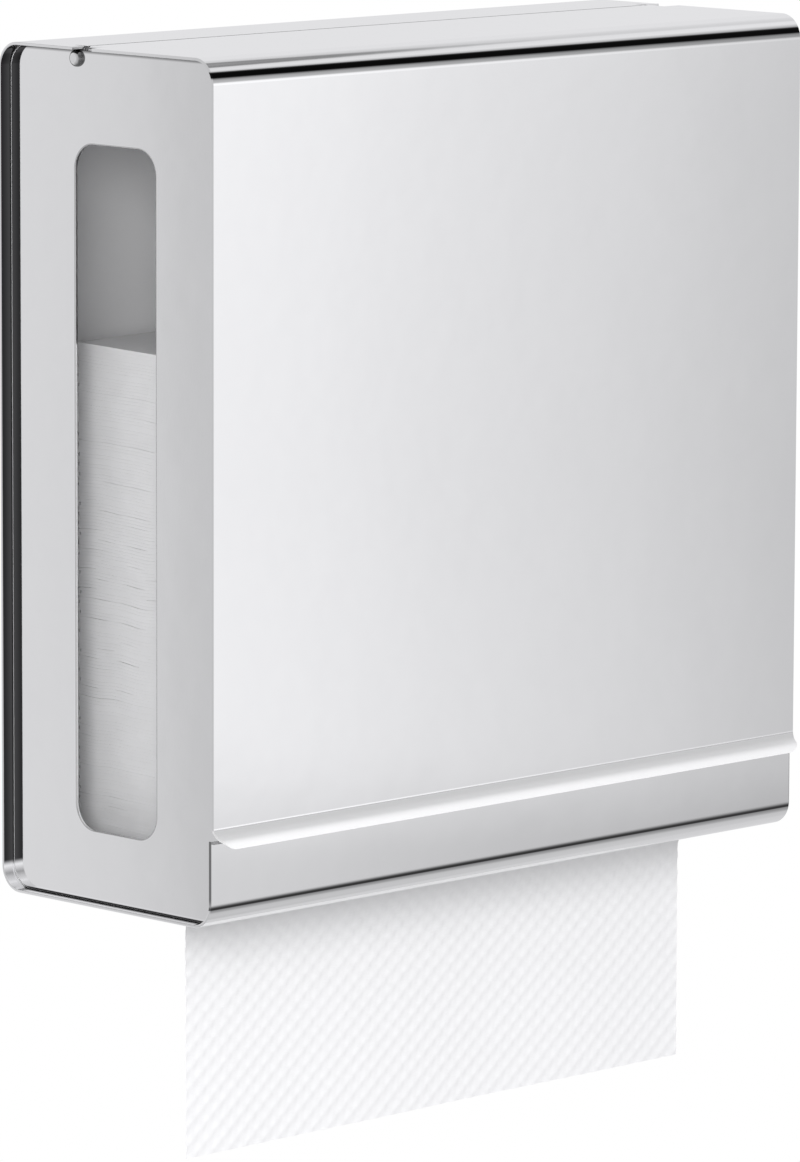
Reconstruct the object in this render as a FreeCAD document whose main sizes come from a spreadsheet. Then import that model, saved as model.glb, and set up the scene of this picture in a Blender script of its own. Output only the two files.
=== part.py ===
import FreeCAD, Part
import math
import os
import re

import Sketcher
from FreeCAD import Vector

# Wall dispenser for folded paper towels, in millimetres.
# X runs across, the front faces -Y, the wall is the plane Y = 0, and Z is up.
# The origin is the middle of the four wall holes, on the back of the body.

doc = FreeCAD.newDocument("towel_dispenser")
sheet = doc.addObject("Spreadsheet::Sheet", "Sizes")

SIZES = [
    ("Width", 292.0, "width of the body and the cover"),
    ("Height", 298.0, "height of the body"),
    ("Depth", 106.5, "wall to the face of the low front strip"),
    ("Sheet", 1.0, "thickness of the steel sheet"),
    ("BendOuter", 9.0, "outer radius of the large bends"),
    ("RearStrip", 37.5, "depth of the fixed strip at the back of the top"),
    ("LowerStrip", 31.0, "height of the fixed strip at the foot of the front"),
    ("SlotEnd", 16.0, "side of the body to the end of the towel slot"),
    ("SlotWide", 40.0, "towel slot, front to back"),
    ("SlotCorner", 8.0, "corner radius of the towel slot"),
    ("FixingAcross", 230.0, "wall holes, side to side"),
    ("FixingUp", 200.0, "wall holes, bottom to top"),
    ("FixingHole", 5.5, "diameter of a wall hole"),
    ("PanelRecess", 4.5, "how far a side panel sits inside the edges"),
    ("PanelTopGap", 0.4, "gap between a side panel and the cover's top"),
    ("PanelRound", 0.4, "how much larger a panel's corners are than the bends"),
    ("PanelEdge", 0.8, "rounded outer edge of a side panel"),
    ("Flange", 9.0, "width of a side panel's flanges"),
    ("FlangeRelief", 3.0, "gap from a corner's round to the end of a flange"),
    ("TopFlangeEnd", 27.0, "front end of the flange under the rear strip"),
    ("WindowWide", 40.5, "side window, front to back"),
    ("WindowTall", 238.5, "side window, bottom to top"),
    ("WindowRise", 26.0, "body's foot to the foot of the window"),
    ("WindowBack", 34.0, "wall to the back edge of the window"),
    ("WindowCorner", 9.0, "corner radius of the window"),
    ("CoverProud", 1.5, "how far the cover's face is in front of the strip's"),
    ("HingeGap", 1.6, "gap between the rear strip and the cover"),
    ("LipFlare", 4.5, "how far the lip stands in front of the cover's face"),
    ("LipSpring", 6.5, "radius of the bend that carries the lip forward, at mid sheet"),
    ("LipRound", 3.5, "radius of the bend that turns the lip down again, at mid sheet"),
    ("LipStart", 38.5, "body's foot to the start of the lip"),
    ("LipFoot", 28.5, "body's foot to the lower edge of the cover"),
    ("LipCorner", 7.0, "radius of the lip's two lower corners"),
    ("PinDrop", 4.2, "top of the body to the hinge axis"),
    ("PinBack", 2.2, "front edge of the rear strip to the hinge axis"),
    ("PinShank", 3.0, "diameter of a hinge rivet's shank"),
    ("PinPlay", 0.05, "radial play of the rivet in its holes"),
    ("HeadWide", 6.0, "diameter of a rivet's domed head"),
    ("HeadTall", 1.8, "height of a rivet's domed head"),
    ("HeadRound", 1.6, "edge radius of a rivet's domed head"),
    ("TailWide", 4.8, "diameter of the rivet's closed end"),
    ("TailTall", 0.8, "height of the rivet's closed end"),
    ("TailGap", 0.15, "gap between the ear and the rivet's closed end"),
    ("WasherThick", 0.6, "thickness of a hinge washer"),
    ("WasherWide", 5.8, "diameter of a hinge washer"),
    ("WasherGap", 0.1, "gap between the washer and the ear"),
    ("EarLong", 8.4, "length of the bend that joins an ear to the cover"),
    ("EarEye", 2.9, "radius of an ear round the hinge axis"),
    ("EarBend", 1.5, "outer radius of an ear's bend"),
    ("EarSlotGap", 0.4, "gap beside an ear in the rear strip's slot"),
    ("EarSlotDeep", 5.2, "depth of the rear strip's slot for an ear"),
    ("BumperWide", 8.0, "diameter of a cover bumper"),
    ("BumperTall", 1.3, "height of a cover bumper"),
    ("BumperEdge", 0.4, "sloped edge of a cover bumper"),
    ("BumperRise", 52.0, "body's foot to a cover bumper"),
    ("BumperInset", 4.5, "outer face of a side panel to a cover bumper"),
    ("TowelSideRoom", 21.0, "side of the body to the side of the towels"),
    ("TowelBackRoom", 20.0, "wall to the back of the stack"),
    ("TowelFrontRoom", 8.25, "front of the stack to the face of the low strip"),
    ("StackTall", 194.0, "height of the folded stack"),
    ("StackRound", 3.0, "radius of the stack's folded edges"),
    ("TowelThick", 0.6, "thickness of the hanging towel"),
    ("TowelDrop", 88.5, "body's foot to the end of the hanging towel"),
    ("TowelBack", 68.6, "wall to the hanging towel where it leaves the stack"),
    ("TowelSwing", 2.4, "how far the hanging towel curves forward"),
    ("TowelCurve", 60.0, "radius of the hanging towel's two curves"),
    ("TowelCurveStart", 8.0, "body's foot to the start of the curves"),
    ("TowelGap", 0.3, "gap between the stack and the hanging towel"),
]

for row, (alias, value, meaning) in enumerate(SIZES, start=1):
    sheet.set(f"A{row}", meaning)
    sheet.set(f"B{row}", str(value))
    sheet.setAlias(f"B{row}", alias)
doc.recompute()

# Places that several pieces share, written from the cells above.
TOP = "Height / 2"
FOOT = "-Height / 2"
COVER_FACE = "-(Depth + CoverProud)"
COVER_REAR = "-(RearStrip + HingeGap)"
PIN_Y = "-(RearStrip - PinBack)"
PIN_Z = "(Height / 2 - PinDrop)"
PANEL_OUTER = "(Width / 2 - PanelRecess)"
PANEL_INNER = "(Width / 2 - PanelRecess - Sheet)"
EAR_OUTER = "(Width / 2 - PanelRecess - Sheet - WasherThick - WasherGap)"
EAR_INNER = "(Width / 2 - PanelRecess - 2 * Sheet - WasherThick - WasherGap)"
FRONT_INNER = "-(Depth - Sheet)"
PIN_HOLE = "(PinShank / 2 + PinPlay)"
TOWEL_WIDE = "(Width - 2 * TowelSideRoom)"
SIDES = {"left": -1, "right": 1}


def cells(expression):
    """The expression with each size's name turned into its cell of the sheet."""
    return re.sub(r"\b([A-Z]\w+)", r"Sizes.\1", str(expression))


def value_of(expression):
    """The expression's value in millimetres."""
    return float(sheet.evalExpression(cells(expression)))


def on_side(side, expression):
    """The expression on the left (negative X) or on the right."""
    return f"{SIDES[side]} * ({expression})"


def new_body(name):
    """A body whose label is the sub-part's name."""
    body = doc.addObject("PartDesign::Body", name)
    body.Label = name
    return body


def new_sketch(body, name, plane, lift="0"):
    """A sketch on one of the body's own origin planes, lifted along the plane's normal."""
    sketch = body.newObject("Sketcher::SketchObject", name)
    support = next(item for item in body.Origin.OriginFeatures if item.Role == plane)
    sketch.AttachmentSupport = [(support, "")]
    sketch.MapMode = "FlatFace"
    if lift != "0":
        sketch.setExpression("AttachmentOffset.Base.z", cells(lift))
    return sketch


def bind(sketch, constraint, expression):
    """Adds a constraint with a size and ties that size to the sheet."""
    index = sketch.addConstraint(constraint)
    sketch.setExpression(f"Constraints[{index}]", cells(expression))


def add_arc(sketch, centre, radius, start, end, left_turn):
    """An arc from start to end. Returns its index and the numbers of its first and last point."""
    first, last = (start, end) if left_turn else (end, start)
    angles = [math.atan2(p.y - centre.y, p.x - centre.x) for p in (first, last)]
    if angles[1] < angles[0]:
        angles[1] += 2 * math.pi
    circle = Part.Circle(centre, Vector(0, 0, 1), radius)
    index = sketch.addGeometry(Part.ArcOfCircle(circle, *angles), False)
    return (index, 1, 2) if left_turn else (index, 2, 1)


def round_turn(sketch, corner, before, after, radius):
    """One arc tangent to both sides at a corner. Returns where it starts, its arcs and where it ends."""
    size = value_of(radius)
    start = corner - before * size
    end = corner + after * size
    centre = start + after * size
    left_turn = before.cross(after).z > 0
    arc = add_arc(sketch, centre, size, start, end, left_turn)
    return start, [(arc, radius)], end


def swan_turn(sketch, start, step, before, radii):
    """Two tangent arcs that carry a side over by a step and leave it parallel."""
    first, second = (value_of(radius) for radius in radii)
    across = abs(step)
    along = math.sqrt((first + second) ** 2 - (first + second - across) ** 2)
    side = Vector(math.copysign(1, step), 0, 0)
    end = start + before * along + side * across
    centres = start + side * first, end - side * second
    middle = centres[0] + (centres[1] - centres[0]) * (first / (first + second))
    left_turn = before.cross(side).z > 0
    arcs = [
        (add_arc(sketch, centres[0], first, start, middle, left_turn), radii[0]),
        (add_arc(sketch, centres[1], second, middle, end, not left_turn), radii[1]),
    ]
    return arcs, end


def outline(sketch, sides):
    """Draws a closed outline of level and upright sides.

    Each side is (way, place, turn): way is "level" or "upright", place is its distance from the
    axis, and turn says how it goes on to the next side: None for a sharp corner, a radius for a
    round, or (radius, radius, start) for a swan neck between two upright sides.
    """
    count = len(sides)
    places = [value_of(place) for _, place, _ in sides]

    def corner(i, j):
        level, upright = (i, j) if sides[i][0] == "level" else (j, i)
        return Vector(places[upright], places[level], 0)

    starts, ends = [None] * count, [None] * count
    for i in range(count):
        j = (i + 1) % count
        if not isinstance(sides[i][2], tuple):
            ends[i] = starts[j] = corner(i, j)
    for i in range(count):
        turn = sides[i][2]
        if isinstance(turn, tuple):
            ends[i] = Vector(places[i], value_of(turn[2]), 0)
            starts[(i + 1) % count] = Vector(places[(i + 1) % count], value_of(turn[2]), 0)
    ways = [(ends[i] - starts[i]).normalize() for i in range(count)]

    pieces = []
    for i in range(count):
        j = (i + 1) % count
        turn = sides[i][2]
        arcs = []
        if isinstance(turn, tuple):
            arcs, starts[j] = swan_turn(sketch, ends[i], places[j] - places[i], ways[i], turn[:2])
        elif turn is not None:
            ends[i], arcs, starts[j] = round_turn(sketch, ends[i], ways[i], ways[j], turn)
        pieces.append(arcs)

    chain = []
    for i, (way, place, turn) in enumerate(sides):
        line = sketch.addGeometry(Part.LineSegment(starts[i], ends[i]), False)
        sketch.addConstraint(Sketcher.Constraint("Horizontal" if way == "level" else "Vertical", line))
        chain.append((line, 1, 2))
        distance = "DistanceY" if way == "level" else "DistanceX"
        if place == "0":
            axis = -1 if way == "level" else -2
            sketch.addConstraint(Sketcher.Constraint("PointOnObject", line, 1, axis))
        else:
            bind(sketch, Sketcher.Constraint(distance, -1, 1, line, 1, places[i]), place)
        for arc, radius in pieces[i]:
            chain.append(arc)
            bind(sketch, Sketcher.Constraint("Radius", arc[0], value_of(radius)), radius)
        if isinstance(turn, tuple):
            start = Sketcher.Constraint("DistanceY", -1, 1, line, 2, ends[i].y)
            bind(sketch, start, turn[2])

    arcs_used = {arc[0] for arcs in pieces for arc, _ in arcs}
    for here, there in zip(chain, chain[1:] + chain[:1]):
        smooth = here[0] in arcs_used or there[0] in arcs_used
        kind = "Tangent" if smooth else "Coincident"
        sketch.addConstraint(Sketcher.Constraint(kind, here[0], here[2], there[0], there[1]))
    doc.recompute()


def box_outline(sketch, low_x, high_x, low_y, high_y, corner=None):
    """A rectangle between four places, with its corners rounded if a radius is given."""
    outline(
        sketch,
        [
            ("level", low_y, corner),
            ("upright", high_x, corner),
            ("level", high_y, corner),
            ("upright", low_x, corner),
        ],
    )


def circles(sketch, centres, radius):
    """Equal circles, each centre given by two expressions."""
    for x, y in centres:
        centre = Vector(value_of(x), value_of(y), 0)
        circle = Part.Circle(centre, Vector(0, 0, 1), value_of(radius))
        index = sketch.addGeometry(circle, False)
        bind(sketch, Sketcher.Constraint("Radius", index, circle.Radius), radius)
        bind(sketch, Sketcher.Constraint("DistanceX", -1, 1, index, 3, centre.x), x)
        bind(sketch, Sketcher.Constraint("DistanceY", -1, 1, index, 3, centre.y), y)
    doc.recompute()


def pad(body, name, sketch, length, both_ways=False, reverse=False):
    """Adds the sketch's shape to the body, from the sketch's plane or to both sides of it."""
    feature = body.newObject("PartDesign::Pad", name)
    feature.Profile = sketch
    feature.setExpression("Length", cells(length))
    feature.Midplane = both_ways
    feature.Reversed = reverse
    body.Tip = feature
    doc.recompute()
    return feature


def pocket(body, name, sketch, length, both_ways=False, reverse=False):
    """Cuts the sketch's shape from the body and makes sure that it took something away."""
    before = body.Shape.Volume
    feature = body.newObject("PartDesign::Pocket", name)
    feature.Profile = sketch
    feature.setExpression("Length", cells(length))
    feature.Midplane = both_ways
    feature.Reversed = reverse
    body.Tip = feature
    doc.recompute()
    if not body.Shape.Volume < before:
        raise RuntimeError(f"{name} cut nothing from {body.Label}")
    return feature


def revolve(body, name, sketch, axis):
    """Turns a half section right round one of its sketch's axes."""
    feature = body.newObject("PartDesign::Revolution", name)
    feature.Profile = sketch
    feature.ReferenceAxis = (sketch, [axis])
    feature.Angle = 360
    body.Tip = feature
    doc.recompute()
    return feature


def fillet(body, name, radius, wanted):
    """Rounds the edges that the test picks."""
    base = body.Tip
    edges = [f"Edge{i}" for i, edge in enumerate(base.Shape.Edges, start=1) if wanted(edge)]
    feature = body.newObject("PartDesign::Fillet", name)
    feature.Base = (base, edges)
    feature.setExpression("Radius", cells(radius))
    body.Tip = feature
    doc.recompute()
    return feature


def chamfer(body, name, size, wanted):
    """Slopes the edges that the test picks."""
    base = body.Tip
    edges = [f"Edge{i}" for i, edge in enumerate(base.Shape.Edges, start=1) if wanted(edge)]
    feature = body.newObject("PartDesign::Chamfer", name)
    feature.Base = (base, edges)
    feature.setExpression("Size", cells(size))
    body.Tip = feature
    doc.recompute()
    return feature


def lies_on(edge, axis, place):
    """True if the whole edge lies on the plane at that place along the axis."""
    box = edge.BoundBox
    low, high = getattr(box, f"{axis}Min"), getattr(box, f"{axis}Max")
    return abs(low - place) < 1e-4 and abs(high - place) < 1e-4


def place_at(body, y, z):
    """Moves a body that is modelled round its own origin."""
    body.setExpression("Placement.Base.y", cells(y))
    body.setExpression("Placement.Base.z", cells(z))


def make_body_wrap():
    """Rear strip, back plate, bottom plate and low front strip, bent from one sheet."""
    body = new_body("body_wrap")
    inner_round = "BendOuter - Sheet"
    profile = new_sketch(body, "wrap_profile", "YZ_Plane")
    outline(
        profile,
        [
            ("level", TOP, "BendOuter"),
            ("upright", "0", "BendOuter"),
            ("level", FOOT, "BendOuter"),
            ("upright", "-Depth", None),
            ("level", f"{FOOT} + LowerStrip", None),
            ("upright", FRONT_INNER, inner_round),
            ("level", f"{FOOT} + Sheet", inner_round),
            ("upright", "-Sheet", inner_round),
            ("level", f"{TOP} - Sheet", None),
            ("upright", "-RearStrip", None),
        ],
    )
    pad(body, "wrap_sheet", profile, "Width", both_ways=True)

    slot = new_sketch(body, "slot_outline", "XY_Plane", f"{FOOT} + Sheet")
    box_outline(
        slot,
        "-(Width / 2 - SlotEnd)",
        "Width / 2 - SlotEnd",
        "-(Depth + SlotWide) / 2",
        "-(Depth - SlotWide) / 2",
        "SlotCorner",
    )
    pocket(body, "towel_slot", slot, "2 * Sheet")

    holes = new_sketch(body, "fixing_centres", "XZ_Plane")
    across, up = "FixingAcross / 2", "FixingUp / 2"
    centres = [(f"{i} * {across}", f"{j} * {up}") for i in (-1, 1) for j in (-1, 1)]
    circles(holes, centres, "FixingHole / 2")
    pocket(body, "fixing_holes", holes, "4 * Sheet", both_ways=True)

    for side in SIDES:
        ends = [
            on_side(side, f"{EAR_INNER} - EarSlotGap"),
            on_side(side, f"{EAR_OUTER} + EarSlotGap"),
        ]
        ends.sort(key=value_of)
        ear_slot = new_sketch(body, f"{side}_ear_slot_outline", "XY_Plane", TOP)
        box_outline(ear_slot, *ends, "-(RearStrip + Sheet)", "-(RearStrip - EarSlotDeep)")
        pocket(body, f"{side}_ear_slot", ear_slot, "2 * Sheet")
    return body


def make_side_panel(side):
    """Recessed side with its window, a hole for the hinge rivet and four inward flanges."""
    body = new_body(f"{side}_side_panel")
    corner = "BendOuter - Sheet + PanelRound"
    top = f"{TOP} - Sheet"
    foot = f"{FOOT} + Sheet"
    cover_top = f"{TOP} - Sheet - PanelTopGap"
    inward = side == "right"

    profile = new_sketch(body, "panel_profile", "YZ_Plane", on_side(side, PANEL_OUTER))
    outline(
        profile,
        [
            ("level", top, corner),
            ("upright", "-Sheet", corner),
            ("level", foot, corner),
            ("upright", FRONT_INNER, corner),
            ("level", cover_top, None),
            ("upright", "-RearStrip", None),
        ],
    )
    pad(body, "panel_sheet", profile, "Sheet", reverse=inward)

    outer_plane = value_of(on_side(side, PANEL_OUTER))
    fillet(body, "rounded_rim", "PanelEdge", lambda edge: lies_on(edge, "X", outer_plane))

    window = new_sketch(body, "window_outline", "YZ_Plane", on_side(side, PANEL_OUTER))
    box_outline(
        window,
        "-(WindowBack + WindowWide)",
        "-WindowBack",
        f"{FOOT} + WindowRise",
        f"{FOOT} + WindowRise + WindowTall",
        "WindowCorner",
    )
    pocket(body, "window", window, "4 * Sheet", both_ways=True)

    hole = new_sketch(body, "pin_hole_centre", "YZ_Plane", on_side(side, PANEL_OUTER))
    circles(hole, [(PIN_Y, PIN_Z)], PIN_HOLE)
    pocket(body, "pin_hole", hole, "4 * Sheet", both_ways=True)

    corner_end = f"{corner} + FlangeRelief"
    flanges = {
        "back": ("-2 * Sheet", "-Sheet", f"{foot} + {corner_end}", f"{top} - ({corner_end})"),
        "bottom": (
            f"{FRONT_INNER} + {corner_end}",
            f"-Sheet - ({corner_end})",
            foot,
            f"{foot} + Sheet",
        ),
        "front": (
            FRONT_INNER,
            f"{FRONT_INNER} + Sheet",
            f"{foot} + {corner_end}",
            f"{cover_top} - ({corner_end})",
        ),
        "top": ("-TopFlangeEnd", f"-Sheet - ({corner_end})", f"{top} - Sheet", top),
    }
    for name, limits in flanges.items():
        flange = new_sketch(body, f"{name}_flange_outline", "YZ_Plane", on_side(side, PANEL_INNER))
        box_outline(flange, *limits)
        pad(body, f"{name}_flange", flange, "Flange - Sheet", reverse=inward)
    return body


def make_front_cover():
    """Top plate, front plate with its flared lip, and two ears bent down to the hinge."""
    body = new_body("front_cover")
    back = f"{COVER_FACE} + Sheet"
    lip = f"{COVER_FACE} - LipFlare"
    front_turns = "LipRound + Sheet / 2", "LipSpring - Sheet / 2"
    back_turns = "LipSpring + Sheet / 2", "LipRound - Sheet / 2"
    lip_start = f"{FOOT} + LipStart"
    rounds = "(LipSpring + LipRound)"
    swan_drop = f"sqrt({rounds} ^ 2 - ({rounds} - LipFlare) ^ 2)"
    profile = new_sketch(body, "cover_profile", "YZ_Plane")
    outline(
        profile,
        [
            ("level", f"{TOP} - Sheet", "BendOuter - Sheet"),
            ("upright", back, (*back_turns, lip_start)),
            ("upright", f"{lip} + Sheet", None),
            ("level", f"{FOOT} + LipFoot", None),
            ("upright", lip, (*front_turns, f"{lip_start} - {swan_drop}")),
            ("upright", COVER_FACE, "BendOuter"),
            ("level", TOP, None),
            ("upright", COVER_REAR, None),
        ],
    )
    pad(body, "cover_sheet", profile, "Width", both_ways=True)

    lip_foot = f"{FOOT} + LipFoot"
    for side in SIDES:
        edge = on_side(side, "Width / 2")
        past = on_side(side, "(Width / 2 + Sheet)")
        inside = on_side(side, "(Width / 2 - LipCorner - Sheet)")
        corner = new_sketch(body, f"{side}_lip_corner_outline", "XZ_Plane")
        outline(
            corner,
            [
                ("upright", edge, "LipCorner"),
                ("level", lip_foot, None),
                ("upright", inside, None),
                ("level", f"{lip_foot} - Sheet", None),
                ("upright", past, None),
                ("level", f"{lip_foot} + LipCorner + Sheet", None),
            ],
        )
        pocket(body, f"{side}_lip_corner", corner, "2 * (Depth + CoverProud + LipFlare + Sheet)", True)

    ear_front = f"{COVER_REAR} - EarLong"
    bend_start = f"({EAR_OUTER} - EarBend)"
    for side in SIDES:
        notch_ends = [on_side(side, bend_start), on_side(side, "(Width / 2 + Sheet)")]
        notch_ends.sort(key=value_of)
        notch = new_sketch(body, f"{side}_notch_outline", "XY_Plane", TOP)
        box_outline(notch, *notch_ends, ear_front, f"{COVER_REAR} + Sheet")
        pocket(body, f"{side}_notch", notch, "2 * Sheet")

        bend = new_sketch(body, f"{side}_ear_profile", "XZ_Plane", f"-({COVER_REAR})")
        outline(
            bend,
            [
                ("level", TOP, "EarBend"),
                ("upright", on_side(side, EAR_OUTER), None),
                ("level", f"{PIN_Z} - EarEye", None),
                ("upright", on_side(side, EAR_INNER), "EarBend - Sheet"),
                ("level", f"{TOP} - Sheet", None),
                ("upright", on_side(side, f"({bend_start} - Sheet)"), None),
            ],
        )
        pad(body, f"{side}_ear", bend, "EarLong")

        inward = side == "right"
        arm = new_sketch(body, f"{side}_arm_outline", "YZ_Plane", on_side(side, EAR_OUTER))
        arm_ends = [f"{COVER_REAR} - Sheet", PIN_Y]
        box_outline(arm, *arm_ends, f"{PIN_Z} - EarEye", f"{PIN_Z} + EarEye")
        pad(body, f"{side}_arm", arm, "Sheet", reverse=inward)
        eye = new_sketch(body, f"{side}_eye_outline", "YZ_Plane", on_side(side, EAR_OUTER))
        circles(eye, [(PIN_Y, PIN_Z)], "EarEye")
        pad(body, f"{side}_eye", eye, "Sheet", reverse=inward)

    hole = new_sketch(body, "pin_hole_centre", "YZ_Plane")
    circles(hole, [(PIN_Y, PIN_Z)], PIN_HOLE)
    pocket(body, "pin_holes", hole, "Width", both_ways=True)

    corner_y, corner_z = value_of(ear_front), value_of(f"{PIN_Z} - EarEye")

    def ear_corner(edge):
        return lies_on(edge, "Y", corner_y) and lies_on(edge, "Z", corner_z)

    fillet(body, "ear_corners", "EarEye", ear_corner)
    return body


def make_hinge_rivet(side):
    """Domed head outside the panel, a shank through panel, washer and ear, and a closed end."""
    body = new_body(f"{side}_hinge_rivet")
    half = new_sketch(body, "rivet_section", "XZ_Plane")
    tail = f"{EAR_INNER} - TailGap"
    outline(
        half,
        [
            ("level", "0", None),
            ("upright", on_side(side, f"{PANEL_OUTER} + HeadTall"), "HeadRound"),
            ("level", "HeadWide / 2", None),
            ("upright", on_side(side, PANEL_OUTER), None),
            ("level", "PinShank / 2", None),
            ("upright", on_side(side, tail), None),
            ("level", "TailWide / 2", None),
            ("upright", on_side(side, f"{tail} - TailTall"), None),
        ],
    )
    revolve(body, "rivet", half, "H_Axis")
    place_at(body, PIN_Y, PIN_Z)
    return body


def make_hinge_washer(side):
    """Flat washer on the rivet's shank, against the inner face of the panel."""
    body = new_body(f"{side}_hinge_washer")
    half = new_sketch(body, "washer_section", "XZ_Plane")
    faces = [on_side(side, PANEL_INNER), on_side(side, f"{PANEL_INNER} - WasherThick")]
    faces.sort(key=value_of)
    box_outline(half, *faces, PIN_HOLE, "WasherWide / 2")
    revolve(body, "washer", half, "H_Axis")
    place_at(body, PIN_Y, PIN_Z)
    return body


def make_cover_bumper(side):
    """Soft dot on the front flange of a side panel."""
    body = new_body(f"{side}_cover_bumper")
    half = new_sketch(body, "bumper_section", "XY_Plane")
    outline(
        half,
        [
            ("level", "0", None),
            ("upright", "0", None),
            ("level", "-BumperTall", None),
            ("upright", "BumperWide / 2", None),
        ],
    )
    revolve(body, "bumper", half, "V_Axis")
    face_place = value_of("-BumperTall")
    chamfer(body, "sloped_edge", "BumperEdge", lambda edge: lies_on(edge, "Y", face_place))
    body.setExpression("Placement.Base.x", cells(on_side(side, f"{PANEL_OUTER} - BumperInset")))
    place_at(body, FRONT_INNER, f"{FOOT} + BumperRise")
    return body


def make_towel_stack():
    """The folded towels, lying on the bottom plate."""
    body = new_body("towel_stack")
    section = new_sketch(body, "stack_section", "YZ_Plane")
    box_outline(
        section,
        "-(Depth - TowelFrontRoom)",
        "-TowelBackRoom",
        f"{FOOT} + Sheet",
        f"{FOOT} + StackTall",
        "StackRound",
    )
    pad(body, "stack", section, TOWEL_WIDE, both_ways=True)
    return body


def make_hanging_towel():
    """The lowest towel's free end, through the slot and down."""
    body = new_body("hanging_towel")
    section = new_sketch(body, "towel_section", "YZ_Plane")
    back = "-TowelBack"
    hung = "-(TowelBack + TowelSwing)"
    tight, wide = "TowelCurve - TowelThick / 2", "TowelCurve + TowelThick / 2"
    start = f"{FOOT} - TowelCurveStart"
    swan_drop = "sqrt((2 * TowelCurve) ^ 2 - (2 * TowelCurve - TowelSwing) ^ 2)"
    outline(
        section,
        [
            ("level", f"{FOOT} + Sheet - TowelGap", None),
            ("upright", f"{back} - TowelThick", (tight, wide, start)),
            ("upright", f"{hung} - TowelThick", None),
            ("level", f"{FOOT} - TowelDrop", None),
            ("upright", hung, (tight, wide, f"{start} - {swan_drop}")),
            ("upright", back, None),
        ],
    )
    pad(body, "towel", section, TOWEL_WIDE, both_ways=True)
    return body


bodies = [make_body_wrap(), make_front_cover()]
for side_name in SIDES:
    bodies.append(make_side_panel(side_name))
    bodies.append(make_hinge_rivet(side_name))
    bodies.append(make_hinge_washer(side_name))
    bodies.append(make_cover_bumper(side_name))
bodies += [make_towel_stack(), make_hanging_towel()]
doc.recompute()

for item in doc.Objects:
    if "Invalid" in item.State or "Error" in item.State:
        raise RuntimeError(f"{item.Label} failed: {item.State}")
for body in bodies:
    if body.Shape.isNull() or not body.Shape.isValid() or not body.Shape.Solids:
        raise RuntimeError(f"{body.Label} has no valid solid")

os.makedirs("parts", exist_ok=True)
for body in bodies:
    body.Shape.exportStep(f"parts/{body.Label}.step")
    box = body.Shape.BoundBox
    print(
        f"{body.Label}: {len(body.Shape.Solids)} solid, {body.Shape.Volume:.1f} mm3, "
        f"X {box.XMin:.2f} {box.XMax:.2f}, Y {box.YMin:.2f} {box.YMax:.2f}, Z {box.ZMin:.2f} {box.ZMax:.2f}"
    )
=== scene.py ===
"""Looks of a wall dispenser for folded paper hand towels.

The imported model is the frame: each piece lies where its solid lies and rides
on the same body.  Sizes in the classes are millimetres, meshes are metres.
"""

import logging
import math
import random
from contextlib import contextmanager
from dataclasses import dataclass, replace
from enum import Enum
from typing import Any, Callable, Iterator, Sequence

import bmesh
import bpy
from mathutils import Matrix, Vector


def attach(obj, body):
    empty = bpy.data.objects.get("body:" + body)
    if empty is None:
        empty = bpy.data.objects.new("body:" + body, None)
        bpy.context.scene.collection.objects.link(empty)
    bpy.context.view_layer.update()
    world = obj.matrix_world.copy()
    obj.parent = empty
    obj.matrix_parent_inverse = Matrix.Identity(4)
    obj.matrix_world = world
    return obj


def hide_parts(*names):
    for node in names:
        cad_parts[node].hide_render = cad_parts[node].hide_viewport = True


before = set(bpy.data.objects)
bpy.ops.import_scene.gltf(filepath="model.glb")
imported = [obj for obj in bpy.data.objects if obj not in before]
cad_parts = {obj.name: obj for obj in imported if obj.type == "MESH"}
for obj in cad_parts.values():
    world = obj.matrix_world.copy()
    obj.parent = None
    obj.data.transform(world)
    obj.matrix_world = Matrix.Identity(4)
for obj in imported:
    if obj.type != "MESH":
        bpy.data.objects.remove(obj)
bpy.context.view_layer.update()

MM = 0.001
SAME, FAR = 0.02, 1000.0
HINGE = (-35.3, 144.8)
DEGREE = math.pi / 180.0
SIDES = (("left", -1.0), ("right", 1.0))
log = logging.getLogger("towel_dispenser")

Point = tuple[float, float]
Point3 = tuple[float, float, float]
Colour = tuple[float, float, float]
Test = Callable[[Vector, Vector], bool]


# Shader maths


def grey(level: float, blue: float = 0.0) -> Colour:
    """Returns a grey whose blue is raised a little, or lowered."""
    return (level, level, level + blue)


def worked_out(operation: str) -> Callable[["Signal", "Signal | float"], "Signal"]:
    """Returns an operator that one Math node works out."""

    def operator(self: "Signal", other: "Signal | float") -> "Signal":
        """Returns the node's value."""
        return self.math(operation, other)

    return operator


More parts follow.
